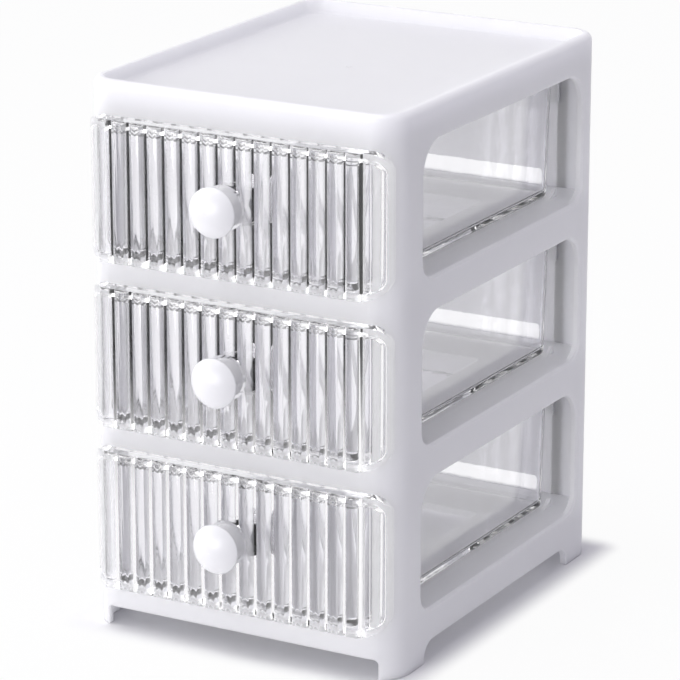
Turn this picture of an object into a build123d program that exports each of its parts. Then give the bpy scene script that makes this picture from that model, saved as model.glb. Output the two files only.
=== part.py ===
from build123d import *
from math import asin, atan, cos, degrees, floor, hypot, sin
import os

# Desktop drawer organizer: a white moulded case with clear fluted drawers.
# Millimetres. X runs to the right, the front faces -Y and Z is up.
# The origin is under the middle of the whole object, knobs included, on the surface it stands on.

# Case
case_width = 123.0
case_depth = 157.0
case_wall = 2.5
case_corner_radius = 11.0
case_edge_radius = 2.6
drawer_names = ["lower", "middle", "upper"]
rail_height = 12.0
bay_height = 48.0
top_band_height = 12.5
shelf_thickness = 2.5

# Feet: the corner walls reach down past the lower edge of the case
foot_height = 7.5
foot_side_length = 22.0
foot_front_width = 6.5
foot_side_arch_radius = 6.5
foot_front_arch_radius = 2.0

# Top tray
top_recess_depth = 5.0
top_rim_width = 3.4
top_rim_slope = 1.2
top_plate_thickness = 2.5
top_recess_fillet = 1.5
gate_mark_radius = 1.1
gate_mark_height = 0.15

# Side windows
window_front_post = 20.0
window_rear_post = 14.6
window_header = 0.7
window_upper_radius = 12.0
window_lower_radius = 7.0
window_edge_chamfer = 0.8

# Drawer openings in the front face
post_width = 9.5
opening_header = 2.0
opening_corner_radius = 3.0

# Shelves: plates with one large cut-out, and ribs that guide the trays
shelf_side_ledge = 29.5
shelf_front_ledge = 22.5
shelf_rear_ledge = 39.0
shelf_cutout_radius = 2.0
rib_height = 2.8
rib_thickness = 1.4
rib_clearance = 0.5
rib_setback = 6.0

# Back panel, let into the rear flanges and held by snap hooks
rear_flange_width = 16.5
rear_sill_height = 8.0
rear_opening_radius = 3.0
rebate_depth = 1.6
rebate_overlap = 4.0
rebate_clearance = 0.25
slot_height = 6.0
slot_margin = 5.0
hook_height = 8.0
hook_rise = 32.0
hook_thickness = 1.5
hook_barb = 1.6
hook_clearance = 0.4
hook_snap_gap = 0.15

# Drawer trays
tray_wall = 1.8
tray_floor = 2.0
tray_top_clearance = 2.4
tray_opening_clearance = 1.7
tray_draft = 0.9
tray_corner_radius = 5.0
tray_edge_radius = 1.6
tray_rear_clearance = 15.0
slide_gap = 0.3
drawer_travel = 110.0
lug_length = 6.0
lug_overlap = 2.0

# Fluted drawer fronts
front_side_inset = 2.1
front_lower_lap = 2.1
front_upper_lap = 2.5
front_case_gap = 0.4
front_projection = 8.0
front_wall = 2.4
front_upper_flange = 3.4
front_lower_flange = 2.0
front_corner_radius = 7.0
front_upper_edge_radius = 1.6
front_lower_edge_radius = 1.2
flute_pitch = 7.04
flute_depth = 2.0
flute_end_margin = 13.6
front_end_depth = 10.0
front_end_bulge = 1.4
seat_radius = 8.0
seat_gap = 0.3
locating_rib_thickness = 1.4
locating_rib_gap = 0.4
locating_rib_setback = 0.5

# Knobs and their screws
knob_length = 12.0
knob_radius = 9.2
knob_neck_radius = 7.0
knob_neck_length = 5.4
knob_dome_height = 4.4
knob_rim_fillet = 0.9
knob_hole_depth = 8.0
screw_radius = 1.5
screw_hole_clearance = 0.05
screw_tip_gap = 0.8
screw_tip_chamfer = 0.5
screw_head_radius = 3.0
screw_head_height = 2.0
screw_head_chamfer = 1.0
screw_recess_width = 0.9
screw_recess_length = 3.4
screw_recess_depth = 1.1

# Places worked out from the sizes above
overshoot = 1.0
tier_pitch = rail_height + bay_height
case_height = foot_height + len(drawer_names) * tier_pitch + top_band_height
knob_reach = front_projection + knob_length
front_y = knob_reach - (case_depth + knob_reach) / 2
back_y = front_y + case_depth
middle_y = (front_y + back_y) / 2
half_width = case_width / 2
shelf_levels = [foot_height + rail_height + tier * tier_pitch for tier in range(len(drawer_names))]

opening_half_width = half_width - post_width
opening_height = bay_height - opening_header

front_half_width = half_width - front_side_inset
front_height = front_lower_lap + opening_height + front_upper_lap
crest_y = front_y - front_projection
groove_y = crest_y + flute_depth
pan_y = groove_y + front_wall

tray_height = opening_height - slide_gap - tray_top_clearance
tray_half_width = opening_half_width - tray_opening_clearance
tray_base_half_width = tray_half_width - tray_draft
tray_front_y = pan_y + seat_gap
tray_rear_y = back_y - tray_rear_clearance
tray_inside_y = tray_front_y + tray_wall
rib_inner_x = tray_base_half_width + tray_draft * rib_height / tray_height + rib_clearance

hole_radius = screw_radius + screw_hole_clearance

rear_opening_half_width = half_width - rear_flange_width
rear_opening_low = foot_height + rear_sill_height
rear_opening_high = case_height - top_band_height


def plan_sheet(half_x, near_y, far_y, radius):
    """A rounded rectangle lying flat, between two depths."""
    sheet = RectangleRounded(2 * half_x, far_y - near_y, radius)
    return Pos(0, (near_y + far_y) / 2) * sheet


def case_plan(inset):
    """The outline of the case seen from above, drawn in by an inset."""
    radius = case_corner_radius - inset
    return plan_sheet(half_width - inset, front_y + inset, back_y - inset, radius)


def upright_sheet(half_x, low_z, high_z, lower_radius, upper_radius):
    """A rectangle standing in X and Z, with its own radius above and below."""
    sheet = Pos(0, (low_z + high_z) / 2) * Rectangle(2 * half_x, high_z - low_z)
    sheet = fillet(sheet.vertices().group_by(Axis.Y)[-1], upper_radius)
    return fillet(sheet.vertices().group_by(Axis.Y)[0], lower_radius)


def through_depth(sheet, near_y, far_y):
    """A sheet drawn in X and Z, extruded from one depth to another."""
    plane = Plane((0, far_y, 0), x_dir=(1, 0, 0), z_dir=(0, -1, 0))
    return extrude(plane * sheet, far_y - near_y)


def through_width(sheet, reach):
    """A sheet drawn in Y and Z, extruded to both sides."""
    plane = Plane((0, 0, 0), x_dir=(0, 1, 0), z_dir=(1, 0, 0))
    return extrude(plane * sheet, reach, both=True)


def block(low, high):
    """A box between two corners."""
    size = [b - a for a, b in zip(low, high)]
    middle = [(a + b) / 2 for a, b in zip(low, high)]
    return Pos(*middle) * Box(*size)


def along_y(radius, near_y, far_y, z):
    """A round bar along Y."""
    sheet = Pos(0, z) * Circle(radius)
    return through_depth(sheet, near_y, far_y)


def both_sides(solid):
    """The solid and its mirror image across the middle of the object."""
    return solid + mirror(solid, Plane.YZ)


def top_recess():
    """The shallow tray on top, with walls that lean outwards."""
    floor_z = case_height - top_recess_depth
    lean = degrees(atan(top_rim_slope / top_recess_depth))
    sheet = Pos(0, 0, floor_z) * case_plan(top_rim_width + top_rim_slope)
    recess = extrude(sheet, top_recess_depth + overshoot, taper=-lean)
    return fillet(recess.edges().group_by(Axis.Z)[0], top_recess_fillet)


def gate_mark():
    """The low round mark that the moulding gate leaves in the middle of the top tray."""
    floor_z = case_height - top_recess_depth
    root = Pos(0, middle_y, floor_z - top_plate_thickness / 2) * Circle(gate_mark_radius)
    return extrude(root, top_plate_thickness / 2 + gate_mark_height)


def shelf(level):
    """One ring-shaped shelf with the ribs that guide a tray."""
    plate = Pos(0, 0, level - shelf_thickness) * case_plan(case_wall / 2)
    hole = plan_sheet(
        half_width - shelf_side_ledge,
        front_y + shelf_front_ledge,
        back_y - shelf_rear_ledge,
        shelf_cutout_radius,
    )
    ring = extrude(plate - Pos(0, 0, level - shelf_thickness) * hole, shelf_thickness)
    rib = block(
        (rib_inner_x, front_y + rib_setback, level - shelf_thickness / 2),
        (rib_inner_x + rib_thickness, tray_rear_y, level + rib_height),
    )
    return ring + both_sides(rib)


def window(level):
    """The opening through both side walls beside one tray."""
    low_y = front_y + window_front_post
    high_y = back_y - window_rear_post
    half_length = (high_y - low_y) / 2
    high_z = level + bay_height - window_header
    sheet = upright_sheet(half_length, level, high_z, window_lower_radius, window_upper_radius)
    sheet = Pos((low_y + high_y) / 2, 0) * sheet
    return through_width(sheet, half_width + overshoot)


def foot_arches():
    """What is cut away under the case between its corner feet."""
    half_length = case_depth / 2 - foot_side_length
    side = upright_sheet(half_length, -foot_height, foot_height, 0.5, foot_side_arch_radius)
    side_cut = through_width(Pos(middle_y, 0) * side, half_width + overshoot)
    front_half = half_width - foot_front_width
    front = upright_sheet(front_half, -foot_height, foot_height, 0.5, foot_front_arch_radius)
    front_cut = through_depth(front, front_y - overshoot, back_y + overshoot)
    return side_cut + front_cut


def rear_opening():
    """The opening in the back and the rebate round it for the back panel."""
    opening = upright_sheet(
        rear_opening_half_width,
        rear_opening_low,
        rear_opening_high,
        rear_opening_radius,
        rear_opening_radius,
    )
    rebate = upright_sheet(
        rear_opening_half_width + rebate_overlap,
        rear_opening_low - rebate_overlap,
        rear_opening_high + rebate_overlap,
        rear_opening_radius,
        rear_opening_radius,
    )
    cut = through_depth(opening, back_y - case_wall, back_y + overshoot)
    return cut + through_depth(rebate, back_y - rebate_depth, back_y + overshoot)


def is_window_rim(edge):
    """Whether an edge is the outer rim of a side window."""
    box = edge.bounding_box()
    on_face = min(abs(box.min.X), abs(box.max.X)) > half_width - 0.01
    after_front = box.min.Y > front_y + case_corner_radius + 0.1
    before_back = box.max.Y < back_y - case_corner_radius - 0.1
    return on_face and after_front and before_back and box.min.Z > shelf_levels[0] - 0.1


def make_frame_body():
    """The one-piece case."""
    body = extrude(case_plan(0), case_height)
    edge_radius = min(case_edge_radius, top_rim_width - 0.4)
    body = fillet(body.edges().group_by(Axis.Z)[-1], edge_radius)
    body -= extrude(case_plan(case_wall), case_height - top_recess_depth - top_plate_thickness)
    body -= top_recess()
    body += gate_mark()
    for level in shelf_levels:
        body += shelf(level)
    body -= rear_opening()
    body -= foot_arches()
    for level in shelf_levels:
        opening = upright_sheet(
            opening_half_width,
            level,
            level + opening_height,
            opening_corner_radius,
            opening_corner_radius,
        )
        body -= through_depth(opening, front_y - overshoot, front_y + case_corner_radius)
        body -= window(level)
    rims = [edge for edge in body.edges() if is_window_rim(edge)]
    return chamfer(rims, window_edge_chamfer)


def make_back_panel():
    """The panel that closes the back, with a low slot at each tray."""
    outline = upright_sheet(
        rear_opening_half_width + rebate_overlap - rebate_clearance,
        rear_opening_low - rebate_overlap + rebate_clearance,
        rear_opening_high + rebate_overlap - rebate_clearance,
        rear_opening_radius,
        rear_opening_radius,
    )
    inner_y = back_y - rebate_depth
    panel = through_depth(outline, inner_y, back_y)
    arm_x = rear_opening_half_width - hook_clearance
    barb_y = back_y - case_wall - hook_snap_gap
    for level in shelf_levels:
        slot = upright_sheet(
            rear_opening_half_width - slot_margin,
            level,
            level + slot_height,
            slot_height / 3,
            slot_height / 3,
        )
        panel -= through_depth(slot, inner_y - overshoot, back_y + overshoot)
        low_z = level + hook_rise
        high_z = low_z + hook_height
        arm = block(
            (arm_x - hook_thickness, barb_y - hook_thickness, low_z),
            (arm_x, inner_y + rebate_depth / 2, high_z),
        )
        barb = block(
            (arm_x - hook_thickness, barb_y - hook_thickness, low_z),
            (arm_x + hook_barb, barb_y, high_z),
        )
        panel += both_sides(arm + barb)
    return panel


def tray_block(inset, low_z, high_z):
    """The tapered block between a tray's four walls, drawn in by an inset."""
    sections = []
    for z in (low_z, high_z):
        spread = tray_draft * z / tray_height
        sheet = plan_sheet(
            tray_base_half_width + spread - inset,
            tray_front_y + inset,
            tray_rear_y - tray_draft + spread - inset,
            tray_corner_radius - inset,
        )
        sections.append(Pos(0, 0, z) * sheet)
    return loft(sections, ruled=True)


def make_drawer_tray(level):
    """A clear open box, with lugs that stop it behind the front of the case."""
    outside = tray_block(0, 0, tray_height)
    outside = fillet(outside.edges().group_by(Axis.Z)[0], tray_edge_radius)
    inside = tray_block(tray_wall, tray_floor, tray_height + overshoot)
    inside = fillet(inside.edges().group_by(Axis.Z)[0], tray_edge_radius)
    tray = outside - inside
    lug_y = front_y + case_wall + drawer_travel + slide_gap
    lug_outer_x = tray_half_width - tray_draft * tray_wall / tray_height
    lug = block(
        (tray_half_width - tray_wall, lug_y, tray_height - tray_wall),
        (lug_outer_x, lug_y + lug_length, opening_height + lug_overlap),
    )
    tray += both_sides(lug)
    hole_z = knob_height(0) - slide_gap
    tray -= along_y(hole_radius, tray_front_y - overshoot, tray_inside_y + overshoot, hole_z)
    return Pos(0, 0, level + slide_gap) * tray


def front_low(level):
    """The height of a drawer front's lower edge."""
    return level - front_lower_lap


def knob_height(level):
    """The height of a knob's axis, halfway up its bay."""
    return level + bay_height / 2


def fluted_plan():
    """A drawer front seen from above: convex flutes, and smooth ends that curve back round the case."""
    flute_count = floor(2 * (front_half_width - flute_end_margin) / flute_pitch)
    last_groove = flute_count * flute_pitch / 2
    flute_radius = ((flute_pitch / 2) ** 2 + flute_depth ** 2) / (2 * flute_depth)
    end_crest = last_groove + flute_pitch / 2
    end_width = front_half_width - end_crest
    end_chord = hypot(end_width, front_end_depth)
    rear_y = front_y + case_corner_radius
    half_turn = atan(flute_pitch / 2 / (flute_radius - flute_depth)) / 2
    rise = Vector(end_crest - flute_radius * sin(half_turn), crest_y + flute_radius * (1 - cos(half_turn)))
    end_middle = Vector(end_crest + end_width / 2, crest_y + front_end_depth / 2)
    bend = end_middle + Vector(front_end_depth, -end_width) * (front_end_bulge / end_chord)
    ends = [
        ThreePointArc((last_groove, groove_y), rise, (end_crest, crest_y)),
        ThreePointArc((end_crest, crest_y), bend, (front_half_width, crest_y + front_end_depth)),
        Line((front_half_width, crest_y + front_end_depth), (front_half_width, rear_y)),
    ]
    edges = ends + [mirror(edge, Plane.YZ) for edge in ends]
    edges.append(Line((-front_half_width, rear_y), (front_half_width, rear_y)))
    for number in range(flute_count):
        start = number * flute_pitch - last_groove
        crest = (start + flute_pitch / 2, crest_y)
        edges.append(ThreePointArc((start, groove_y), crest, (start + flute_pitch, groove_y)))
    return make_face(edges)


def make_drawer_front(level):
    """A clear fluted front: a shallow pan that overlaps the case and holds the tray's front wall."""
    low_z = front_low(level)
    high_z = low_z + front_height
    axis_z = knob_height(level)
    rear_y = front_y + case_corner_radius
    outline = upright_sheet(front_half_width, low_z, high_z, front_corner_radius, front_corner_radius)
    side = Pos((crest_y + rear_y) / 2, (low_z + high_z) / 2) * Rectangle(rear_y - crest_y, front_height)
    upper_corner = side.vertices().group_by(Axis.Y)[-1].sort_by(Axis.X)[0]
    side = fillet(upper_corner, front_upper_edge_radius)
    lower_corner = side.vertices().group_by(Axis.Y)[0].sort_by(Axis.X)[0]
    side = fillet(lower_corner, front_lower_edge_radius)
    front = Pos(0, 0, low_z) * extrude(fluted_plan(), front_height)
    front &= through_depth(outline, crest_y - overshoot, rear_y + overshoot)
    front &= through_width(side, front_half_width + overshoot)
    pan_radius = front_corner_radius - front_wall
    pan_sheet = upright_sheet(
        front_half_width - front_wall,
        low_z + front_lower_flange,
        high_z - front_upper_flange,
        pan_radius,
        pan_radius,
    )
    pan = through_depth(pan_sheet, pan_y, rear_y + overshoot)
    pan_plan = plan_sheet(front_half_width - front_wall, pan_y, rear_y + 2 * pan_radius, pan_radius)
    pan &= Pos(0, 0, low_z) * extrude(pan_plan, front_height)
    front -= pan
    rib_x = tray_half_width + locating_rib_gap
    rib_y = front_y - front_case_gap - locating_rib_setback
    rib = block(
        (rib_x, pan_y - overshoot, low_z + front_lower_flange / 2),
        (rib_x + locating_rib_thickness, rib_y, high_z - front_upper_flange / 2),
    )
    front += both_sides(rib)
    front += along_y(seat_radius, crest_y, pan_y, axis_z)
    front -= extrude(case_plan(-front_case_gap), case_height)
    return front - along_y(hole_radius, crest_y - overshoot, pan_y + overshoot, axis_z)


def make_knob(level):
    """A mushroom knob: a neck that opens into a domed cap."""
    tip = -knob_length
    rim = tip + knob_dome_height
    dome_radius = (knob_radius ** 2 + knob_dome_height ** 2) / (2 * knob_dome_height)
    half_turn = asin(knob_radius / dome_radius) / 2
    shoulder = (dome_radius * sin(half_turn), tip + dome_radius * (1 - cos(half_turn)))
    edges = [
        Line((0, tip), (0, -knob_hole_depth)),
        Line((0, -knob_hole_depth), (hole_radius, -knob_hole_depth)),
        Line((hole_radius, -knob_hole_depth), (hole_radius, 0)),
        Line((hole_radius, 0), (knob_neck_radius, 0)),
        Line((knob_neck_radius, 0), (knob_neck_radius, -knob_neck_length)),
        Line((knob_neck_radius, -knob_neck_length), (knob_radius, rim)),
        ThreePointArc((knob_radius, rim), shoulder, (0, tip)),
    ]
    profile = make_face(edges)
    profile = fillet(profile.vertices().group_by(Axis.X)[-1], knob_rim_fillet)
    return Pos(0, crest_y, knob_height(level)) * revolve(profile, Axis.Y)


def make_knob_screw(level):
    """A pan-head screw driven from inside the tray into the knob."""
    axis_z = knob_height(level)
    tip_y = crest_y - knob_hole_depth + screw_tip_gap
    shank = along_y(screw_radius, tip_y, tray_inside_y, axis_z)
    shank = chamfer(shank.edges().group_by(Axis.Y)[0], screw_tip_chamfer)
    head_y = tray_inside_y + screw_head_height
    head = along_y(screw_head_radius, tray_inside_y, head_y, axis_z)
    head = chamfer(head.edges().group_by(Axis.Y)[-1], screw_head_chamfer)
    recess = Box(screw_recess_length, 2 * screw_recess_depth, screw_recess_width)
    recess += Box(screw_recess_width, 2 * screw_recess_depth, screw_recess_length)
    return shank + head - Pos(0, head_y, axis_z) * recess


parts = {"frame_body": make_frame_body(), "back_panel": make_back_panel()}
for drawer_name, drawer_level in zip(drawer_names, shelf_levels):
    parts[drawer_name + "_drawer_tray"] = make_drawer_tray(drawer_level)
    parts[drawer_name + "_drawer_front"] = make_drawer_front(drawer_level)
    parts[drawer_name + "_knob"] = make_knob(drawer_level)
    parts[drawer_name + "_knob_screw"] = make_knob_screw(drawer_level)

os.makedirs("parts", exist_ok=True)
for part_name, part_solid in parts.items():
    export_step(part_solid, "parts/" + part_name + ".step")
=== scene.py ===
import math

import bmesh
import bpy
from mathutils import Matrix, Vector


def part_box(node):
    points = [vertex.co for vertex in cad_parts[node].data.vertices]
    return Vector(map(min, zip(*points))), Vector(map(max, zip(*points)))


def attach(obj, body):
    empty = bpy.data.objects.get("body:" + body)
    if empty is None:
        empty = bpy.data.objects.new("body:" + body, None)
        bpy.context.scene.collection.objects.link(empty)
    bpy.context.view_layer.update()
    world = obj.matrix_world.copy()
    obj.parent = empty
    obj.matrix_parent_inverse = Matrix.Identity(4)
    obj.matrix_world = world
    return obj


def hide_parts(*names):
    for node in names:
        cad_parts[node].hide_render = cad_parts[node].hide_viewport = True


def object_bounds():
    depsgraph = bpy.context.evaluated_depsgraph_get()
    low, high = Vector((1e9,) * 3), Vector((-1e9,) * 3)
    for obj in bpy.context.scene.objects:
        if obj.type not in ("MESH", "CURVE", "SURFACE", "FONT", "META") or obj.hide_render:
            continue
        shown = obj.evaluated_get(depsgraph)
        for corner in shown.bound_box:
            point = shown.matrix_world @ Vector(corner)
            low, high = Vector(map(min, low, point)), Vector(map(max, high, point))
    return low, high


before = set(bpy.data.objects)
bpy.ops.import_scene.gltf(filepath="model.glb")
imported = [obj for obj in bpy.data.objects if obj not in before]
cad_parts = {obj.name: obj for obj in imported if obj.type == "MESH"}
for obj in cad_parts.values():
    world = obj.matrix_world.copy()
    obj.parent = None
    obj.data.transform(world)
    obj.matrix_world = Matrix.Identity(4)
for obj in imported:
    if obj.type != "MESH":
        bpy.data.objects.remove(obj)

# Desktop drawer organizer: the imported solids, dressed as satin white and clear plastic.
# Metres. X runs to the right, the front faces -Y and Z is up.

packed_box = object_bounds()

# Pieces
drawer_names = ["lower", "middle", "upper"]
white_nodes = ["frame_body", "back_panel"]
tray_nodes = [name + "_drawer_tray" for name in drawer_names]
knob_nodes = [name + "_knob" for name in drawer_names]
screw_nodes = [name + "_knob_screw" for name in drawer_names]

# Narrow flute at each end of a drawer front, seen from above
end_flute_start = (0.0458, -0.07446)
end_groove = (0.05196, -0.0737)
end_corner = (0.0595, -0.0663)
end_flute_bulge = 0.0021
end_corner_bulge = 0.0008
carve_margin = 0.02
arc_steps = 14
weld_reach = 0.000002
sharp_angle = math.radians(32.0)

# Camera, at the height and turn that the photograph was taken from
camera_place = (0.6256, -1.1114, 0.4876)
camera_pitch = math.radians(90.0 - 17.05)
camera_turn = math.radians(29.30)
camera_lens = 196.6

# Light
white = (1.0, 1.0, 1.0, 1.0)
sky_light = 0.37
sky_colour = (1.0, 0.97, 1.12, 1.0)
floor_glow = 0.94
floor_colour = (0.93, 0.93, 0.93, 1.0)
floor_size = 8.0
floor_drop = 0.0002
floor_fade = 0.012
lamp_distance = 1.7
lamp_size = 1.1
top_direction = Vector((-0.15, -0.15, 0.97))
top_watts = 13.0
front_direction = Vector((-0.12, -0.98, 0.10))
front_watts = 14.0
side_direction = Vector((-0.90, -0.33, 0.28))
side_watts = 11.0

# Dark card on the far floor, which draws dark lines in the clear plastic
card_near = 0.20
card_dark = 0.42
card_far = 1.60
card_from = math.radians(192.0)
card_to = math.radians(242.0)
card_lift = 0.001
card_steps = 12

# Light paths followed
most_bounces = 32
diffuse_bounces = 12
clear_bounces = 32
mirror_bounces = 16

# Shared by the finishes
cloud_detail = 3.0
opaque_ior = 1.49

# White plastic
white_deep = (0.86, 0.86, 0.885, 1.0)
white_pale = (0.90, 0.90, 0.92, 1.0)
white_roughness = 0.36
white_roughness_spread = 0.10
white_glow_through = 1.0
white_glow_depth = 0.006
white_glow_spread = (1.0, 1.0, 1.0)
white_cloud_scale = 38.0
white_grain_scale = 2600.0
white_ripple_scale = 60.0
white_ripple_share = 6.0
white_relief_depth = 0.00002
white_relief_strength = 0.5

# Knob plastic
knob_deep = (0.84, 0.84, 0.855, 1.0)
knob_pale = (0.87, 0.87, 0.88, 1.0)
knob_roughness = 0.24
knob_roughness_spread = 0.08
knob_cloud_scale = 160.0
knob_ripple_scale = 420.0
knob_relief_depth = 0.00004
knob_relief_strength = 0.4

# Clear plastic
clear_deep = (0.976, 0.973, 0.990, 1.0)
clear_pale = (0.990, 0.987, 0.998, 1.0)
clear_ior = 1.58
clear_roughness = 0.005
clear_roughness_spread = 0.03
clear_shadow_pass = 0.62
clear_cloud_scale = 55.0
clear_wave_scale = 95.0
clear_relief_depth = 0.00006
clear_relief_strength = 0.5

# Screw steel
steel_deep = (0.72, 0.73, 0.75, 1.0)
steel_pale = (0.86, 0.87, 0.89, 1.0)
steel_roughness = 0.34
steel_roughness_spread = 0.16
steel_cloud_scale = 900.0
steel_marks_scale = 2400.0
steel_marks_stretch = (1.0, 6.0, 1.0)
steel_relief_depth = 0.00003
steel_relief_strength = 0.5


class Value:
    """A shader socket that takes part in plain arithmetic."""

    def __init__(self, nodes, socket):
        self.nodes = nodes
        self.socket = socket

    def calculate(self, operation, left, right):
        return self.nodes.add("ShaderNodeMath", {"operation": operation}, {0: left, 1: right})

    def __add__(self, other):
        return self.calculate("ADD", self, other)

    def __radd__(self, other):
        return self.calculate("ADD", other, self)

    def __sub__(self, other):
        return self.calculate("SUBTRACT", self, other)

    def __rsub__(self, other):
        return self.calculate("SUBTRACT", other, self)

    def __mul__(self, other):
        return self.calculate("MULTIPLY", self, other)

    def __rmul__(self, other):
        return self.calculate("MULTIPLY", other, self)


class Nodes:
    """A node tree that is filled one node at a time."""

    def __init__(self, owner):
        owner.use_nodes = True
        self.tree = owner.node_tree
        self.tree.nodes.clear()

    def add(self, kind, settings=None, sockets=None, output=0):
        """Add a node: its settings first, then the values or links of its sockets."""
        node = self.tree.nodes.new(kind)
        for name, value in (settings or {}).items():
            setattr(node, name, value)
        for name, value in (sockets or {}).items():
            if isinstance(value, Value):
                self.tree.links.new(value.socket, node.inputs[name])
            else:
                node.inputs[name].default_value = value
        return Value(self, node.outputs[output]) if node.outputs else None

    def place(self):
        """The point on the piece, in metres."""
        return self.add("ShaderNodeTexCoord", output="Object")

    def noise(self, scale, detail=2.0, stretch=(1.0, 1.0, 1.0)):
        """Cloudy variation from 0 to 1, with this many cells to the metre."""
        mapped = self.add("ShaderNodeMapping", {}, {"Vector": self.place(), "Scale": stretch})
        return self.add("ShaderNodeTexNoise", {}, {"Vector": mapped, "Scale": scale, "Detail": detail})

    def blend(self, factor, colour_a, colour_b):
        """A colour between two colours."""
        settings = {"data_type": "RGBA"}
        return self.add("ShaderNodeMix", settings, {"Factor": factor, 6: colour_a, 7: colour_b}, output=2)

    def relief(self, height, depth, strength):
        """A surface normal that follows a height."""
        return self.add("ShaderNodeBump", {}, {"Height": height, "Distance": depth, "Strength": strength})

    def seen_by_eye(self):
        """1 for rays that carry a picture to the camera: straight, mirrored or through clear plastic."""
        rays = "ShaderNodeLightPath"
        seen = self.add(rays, output="Is Camera Ray") + self.add(rays, output="Is Glossy Ray")
        seen = seen + self.add(rays, output="Is Transmission Ray")
        return self.add("ShaderNodeClamp", {}, {"Value": seen})


def white_plastic():
    """Satin white moulding: slight clouding, and the fine grain of the mould."""
    material = bpy.data.materials.new("satin_white_plastic")
    nodes = Nodes(material)
    cloud = nodes.noise(white_cloud_scale, detail=cloud_detail)
    grain = nodes.noise(white_grain_scale)
    ripple = nodes.noise(white_ripple_scale)
    height = grain + white_ripple_share * ripple
    shader = nodes.add(
        "ShaderNodeBsdfPrincipled",
        {},
        {
            "Base Color": nodes.blend(cloud, white_deep, white_pale),
            "Roughness": white_roughness + white_roughness_spread * (cloud - 0.5),
            "Normal": nodes.relief(height, white_relief_depth, white_relief_strength),
            "IOR": opaque_ior,
            "Subsurface Weight": white_glow_through,
            "Subsurface Radius": white_glow_spread,
            "Subsurface Scale": white_glow_depth,
        },
    )
    nodes.add("ShaderNodeOutputMaterial", {}, {"Surface": shader})
    return material


def knob_plastic():
    """Smooth white moulding with a soft gloss."""
    material = bpy.data.materials.new("smooth_white_plastic")
    nodes = Nodes(material)
    cloud = nodes.noise(knob_cloud_scale, detail=cloud_detail)
    ripple = nodes.noise(knob_ripple_scale)
    shader = nodes.add(
        "ShaderNodeBsdfPrincipled",
        {},
        {
            "Base Color": nodes.blend(cloud, knob_deep, knob_pale),
            "Roughness": knob_roughness + knob_roughness_spread * (cloud - 0.5),
            "Normal": nodes.relief(ripple, knob_relief_depth, knob_relief_strength),
            "IOR": opaque_ior,
        },
    )
    nodes.add("ShaderNodeOutputMaterial", {}, {"Surface": shader})
    return material


def clear_plastic():
    """Clear moulding: a cool tint, and the faint waves that the melt leaves as it flows."""
    material = bpy.data.materials.new("clear_plastic")
    nodes = Nodes(material)
    cloud = nodes.noise(clear_cloud_scale, detail=cloud_detail)
    wave = nodes.noise(clear_wave_scale)
    shader = nodes.add(
        "ShaderNodeBsdfPrincipled",
        {},
        {
            "Base Color": nodes.blend(cloud, clear_deep, clear_pale),
            "Roughness": clear_roughness + clear_roughness_spread * cloud,
            "Normal": nodes.relief(wave, clear_relief_depth, clear_relief_strength),
            "IOR": clear_ior,
            "Transmission Weight": 1.0,
        },
    )
    through = nodes.add("ShaderNodeBsdfTransparent")
    passed = clear_shadow_pass * nodes.add("ShaderNodeLightPath", output="Is Shadow Ray")
    surface = nodes.add("ShaderNodeMixShader", {}, {0: passed, 1: shader, 2: through})
    nodes.add("ShaderNodeOutputMaterial", {}, {"Surface": surface})
    return material


def screw_steel():
    """Plated steel with fine turning marks."""
    material = bpy.data.materials.new("plated_steel")
    nodes = Nodes(material)
    cloud = nodes.noise(steel_cloud_scale, detail=cloud_detail)
    marks = nodes.noise(steel_marks_scale, stretch=steel_marks_stretch)
    shader = nodes.add(
        "ShaderNodeBsdfPrincipled",
        {},
        {
            "Base Color": nodes.blend(cloud, steel_deep, steel_pale),
            "Roughness": steel_roughness + steel_roughness_spread * marks,
            "Normal": nodes.relief(marks, steel_relief_depth, steel_relief_strength),
            "Metallic": 1.0,
        },
    )
    nodes.add("ShaderNodeOutputMaterial", {}, {"Surface": shader})
    return material


def dress(node_names, material):
    """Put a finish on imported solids."""
    for node_name in node_names:
        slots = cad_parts[node_name].data.materials
        slots.clear()
        slots.append(material)


def bowed_line(start, end, bulge):
    """Points on an arc that bows out to the front, from left to right."""
    start = Vector(start)
    chord = Vector(end) - start
    half = chord.length / 2
    along = chord.normalized()
    outward = Vector((along.y, -along.x))
    radius = (half ** 2 + bulge ** 2) / (2 * bulge)
    centre = start + chord / 2 - outward * (radius - bulge)
    reach = math.asin(half / radius)
    points = []
    for step in range(arc_steps + 1):
        angle = reach * (2 * step / arc_steps - 1)
        points.append(centre + radius * (math.cos(angle) * outward + math.sin(angle) * along))
    return points


def end_cutter():
    """What is cut away in front of the narrow flutes, at both ends and all three drawers."""
    profile = bowed_line(end_flute_start, end_groove, end_flute_bulge)
    profile += bowed_line(end_groove, end_corner, end_corner_bulge)[1:]
    out_x = end_corner[0] + carve_margin
    out_y = end_flute_start[1] - carve_margin
    profile += [Vector((out_x, end_corner[1])), Vector((out_x, out_y)), Vector((end_flute_start[0], out_y))]
    shape = bmesh.new()
    for side in (-1, 1):
        low = [shape.verts.new((side * point.x, point.y, packed_box[0].z)) for point in profile]
        face = shape.faces.new(low)
        raised = bmesh.ops.extrude_face_region(shape, geom=[face])["geom"]
        lifted = [part for part in raised if isinstance(part, bmesh.types.BMVert)]
        bmesh.ops.translate(shape, verts=lifted, vec=(0.0, 0.0, packed_box[1].z - packed_box[0].z))
    bmesh.ops.recalc_face_normals(shape, faces=shape.faces)
    mesh = bpy.data.meshes.new("end_cutter")
    shape.to_mesh(mesh)
    shape.free()
    cutter = bpy.data.objects.new("end_cutter", mesh)
    bpy.context.scene.collection.objects.link(cutter)
    return cutter


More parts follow.
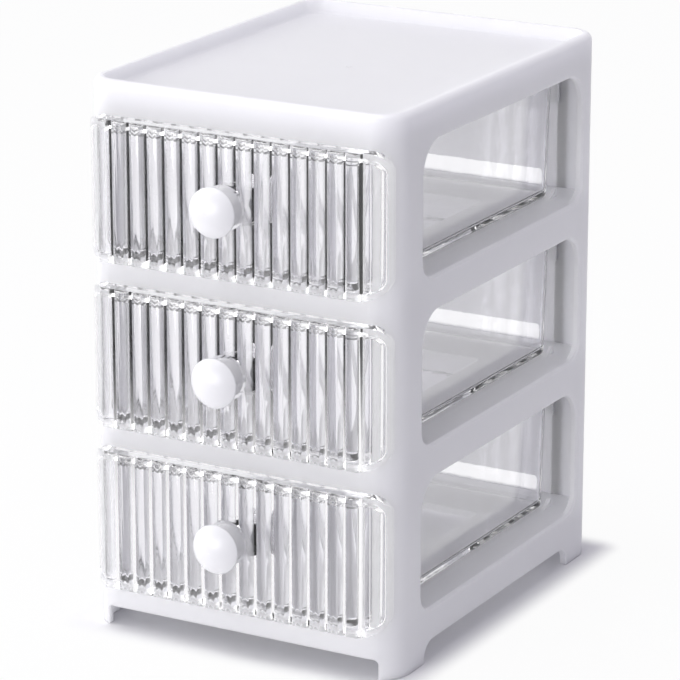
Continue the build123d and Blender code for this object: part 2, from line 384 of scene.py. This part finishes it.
def carve_front(name, cutter, material):
    """A drawer front with a narrow flute at each end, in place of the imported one."""
    node_name = name + "_drawer_front"
    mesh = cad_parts[node_name].data.copy()
    shape = bmesh.new()
    shape.from_mesh(mesh)
    bmesh.ops.remove_doubles(shape, verts=shape.verts, dist=weld_reach)
    shape.to_mesh(mesh)
    shape.free()
    stale_normals = mesh.attributes.get("custom_normal")
    if stale_normals is not None:
        mesh.attributes.remove(stale_normals)
    front = bpy.data.objects.new(name + "_fluted_front", mesh)
    bpy.context.scene.collection.objects.link(front)
    carve = front.modifiers.new("carve", "BOOLEAN")
    carve.operation = "DIFFERENCE"
    carve.solver = "EXACT"
    carve.object = cutter
    carved = front.evaluated_get(bpy.context.evaluated_depsgraph_get())
    front.data = bpy.data.meshes.new_from_object(carved)
    front.modifiers.clear()
    front.data.polygons.foreach_set("use_smooth", [True] * len(front.data.polygons))
    front.data.set_sharp_from_angle(angle=sharp_angle)
    front.data.materials.clear()
    front.data.materials.append(material)
    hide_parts(node_name)
    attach(front, name + "_drawer")


def open_floor(nodes):
    """0 on the floor under the case, 1 on the open floor round it."""
    low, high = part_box("frame_body")
    middle = (low[0] + high[0]) / 2, (low[1] + high[1]) / 2, low[2]
    half = (high[0] - low[0]) / 2, (high[1] - low[1]) / 2, high[2] - low[2]
    kind = "ShaderNodeVectorMath"
    across = nodes.add(kind, {"operation": "SUBTRACT"}, {0: nodes.place(), 1: middle})
    across = nodes.add(kind, {"operation": "ABSOLUTE"}, {0: across})
    past = nodes.add(kind, {"operation": "SUBTRACT"}, {0: across, 1: half})
    past = nodes.add(kind, {"operation": "MAXIMUM"}, {0: past, 1: (0.0, 0.0, 0.0)})
    reach = nodes.add(kind, {"operation": "LENGTH"}, {0: past}, output="Value")
    ramp = {"Value": reach, "From Min": 0.0, "From Max": floor_fade}
    return nodes.add("ShaderNodeMapRange", {"interpolation_type": "SMOOTHSTEP"}, ramp)


def make_floor():
    """A white floor that keeps the object's shadow."""
    low = packed_box[0].z - floor_drop
    half = floor_size / 2
    mesh = bpy.data.meshes.new("floor")
    corners = [(-half, -half, low), (half, -half, low), (half, half, low), (-half, half, low)]
    mesh.from_pydata(corners, [], [(0, 1, 2, 3)])
    floor = bpy.data.objects.new("floor", mesh)
    bpy.context.scene.collection.objects.link(floor)
    material = bpy.data.materials.new("white_floor")
    nodes = Nodes(material)
    paint = nodes.add("ShaderNodeBsdfDiffuse", {}, {"Color": floor_colour})
    glow = nodes.add("ShaderNodeEmission", {}, {"Strength": 1.0})
    factor = floor_glow * nodes.seen_by_eye() * open_floor(nodes)
    surface = nodes.add("ShaderNodeMixShader", {}, {0: factor, 1: paint, 2: glow})
    nodes.add("ShaderNodeOutputMaterial", {}, {"Surface": surface})
    mesh.materials.append(material)


def light_sky():
    """Even light from all round, and a white surround in mirrors and through clear plastic."""
    world = bpy.data.worlds.new("white_surround")
    bpy.context.scene.world = world
    nodes = Nodes(world)
    seen = nodes.seen_by_eye()
    strength = sky_light + (1.0 - sky_light) * seen
    colour = nodes.blend(seen, sky_colour, white)
    sky = nodes.add("ShaderNodeBackground", {}, {"Color": colour, "Strength": strength})
    nodes.add("ShaderNodeOutputWorld", {}, {"Surface": sky})


def light_from(name, direction, watts):
    """A large soft lamp that faces the object."""
    lamp = bpy.data.lights.new(name, "AREA")
    lamp.size = lamp_size
    lamp.energy = watts
    light = bpy.data.objects.new(name, lamp)
    middle = (packed_box[0] + packed_box[1]) / 2
    light.location = middle + lamp_distance * direction.normalized()
    light.rotation_euler = direction.to_track_quat("Z", "Y").to_euler()
    bpy.context.scene.collection.objects.link(light)


def make_dark_card():
    """A card that only mirrors and clear plastic see: bare near the object, black farther away."""
    points = []
    for step in range(card_steps + 1):
        angle = card_from + (card_to - card_from) * step / card_steps
        for reach in (card_near, card_far):
            points.append((reach * math.cos(angle), reach * math.sin(angle), card_lift))
    faces = [(2 * step, 2 * step + 1, 2 * step + 3, 2 * step + 2) for step in range(card_steps)]
    mesh = bpy.data.meshes.new("dark_card")
    mesh.from_pydata(points, [], faces)
    card = bpy.data.objects.new("dark_card", mesh)
    bpy.context.scene.collection.objects.link(card)
    card.visible_camera = False
    card.visible_diffuse = False
    card.visible_shadow = False
    material = bpy.data.materials.new("black_card")
    nodes = Nodes(material)
    reach = nodes.add("ShaderNodeVectorMath", {"operation": "LENGTH"}, {0: nodes.place()}, output="Value")
    ramp = {"Value": reach, "From Min": card_near, "From Max": card_dark}
    darkness = nodes.add("ShaderNodeMapRange", {"interpolation_type": "SMOOTHSTEP"}, ramp)
    bare = nodes.add("ShaderNodeBsdfTransparent")
    black = nodes.add("ShaderNodeEmission", {}, {"Strength": 0.0})
    surface = nodes.add("ShaderNodeMixShader", {}, {0: darkness, 1: bare, 2: black})
    nodes.add("ShaderNodeOutputMaterial", {}, {"Surface": surface})
    mesh.materials.append(material)


def make_camera():
    """The camera at the photograph's place."""
    lens = bpy.data.cameras.new("camera")
    lens.lens = camera_lens
    camera = bpy.data.objects.new("camera", lens)
    camera.location = camera_place
    camera.rotation_euler = (camera_pitch, 0.0, camera_turn)
    bpy.context.scene.collection.objects.link(camera)
    bpy.context.scene.camera = camera


dress(white_nodes, white_plastic())
dress(knob_nodes, knob_plastic())
clear = clear_plastic()
dress(tray_nodes, clear)
dress(screw_nodes, screw_steel())
cutter = end_cutter()
for name in drawer_names:
    carve_front(name, cutter, clear)
bpy.data.objects.remove(cutter)
for node_name in tray_nodes:
    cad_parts[node_name].visible_shadow = False

make_floor()
light_sky()
light_from("top", top_direction, top_watts)
light_from("front", front_direction, front_watts)
light_from("side", side_direction, side_watts)
make_dark_card()
make_camera()
bpy.context.scene.view_settings.view_transform = "Standard"
bpy.context.scene.cycles.max_bounces = most_bounces
bpy.context.scene.cycles.diffuse_bounces = diffuse_bounces
bpy.context.scene.cycles.transmission_bounces = clear_bounces
bpy.context.scene.cycles.glossy_bounces = mirror_bounces
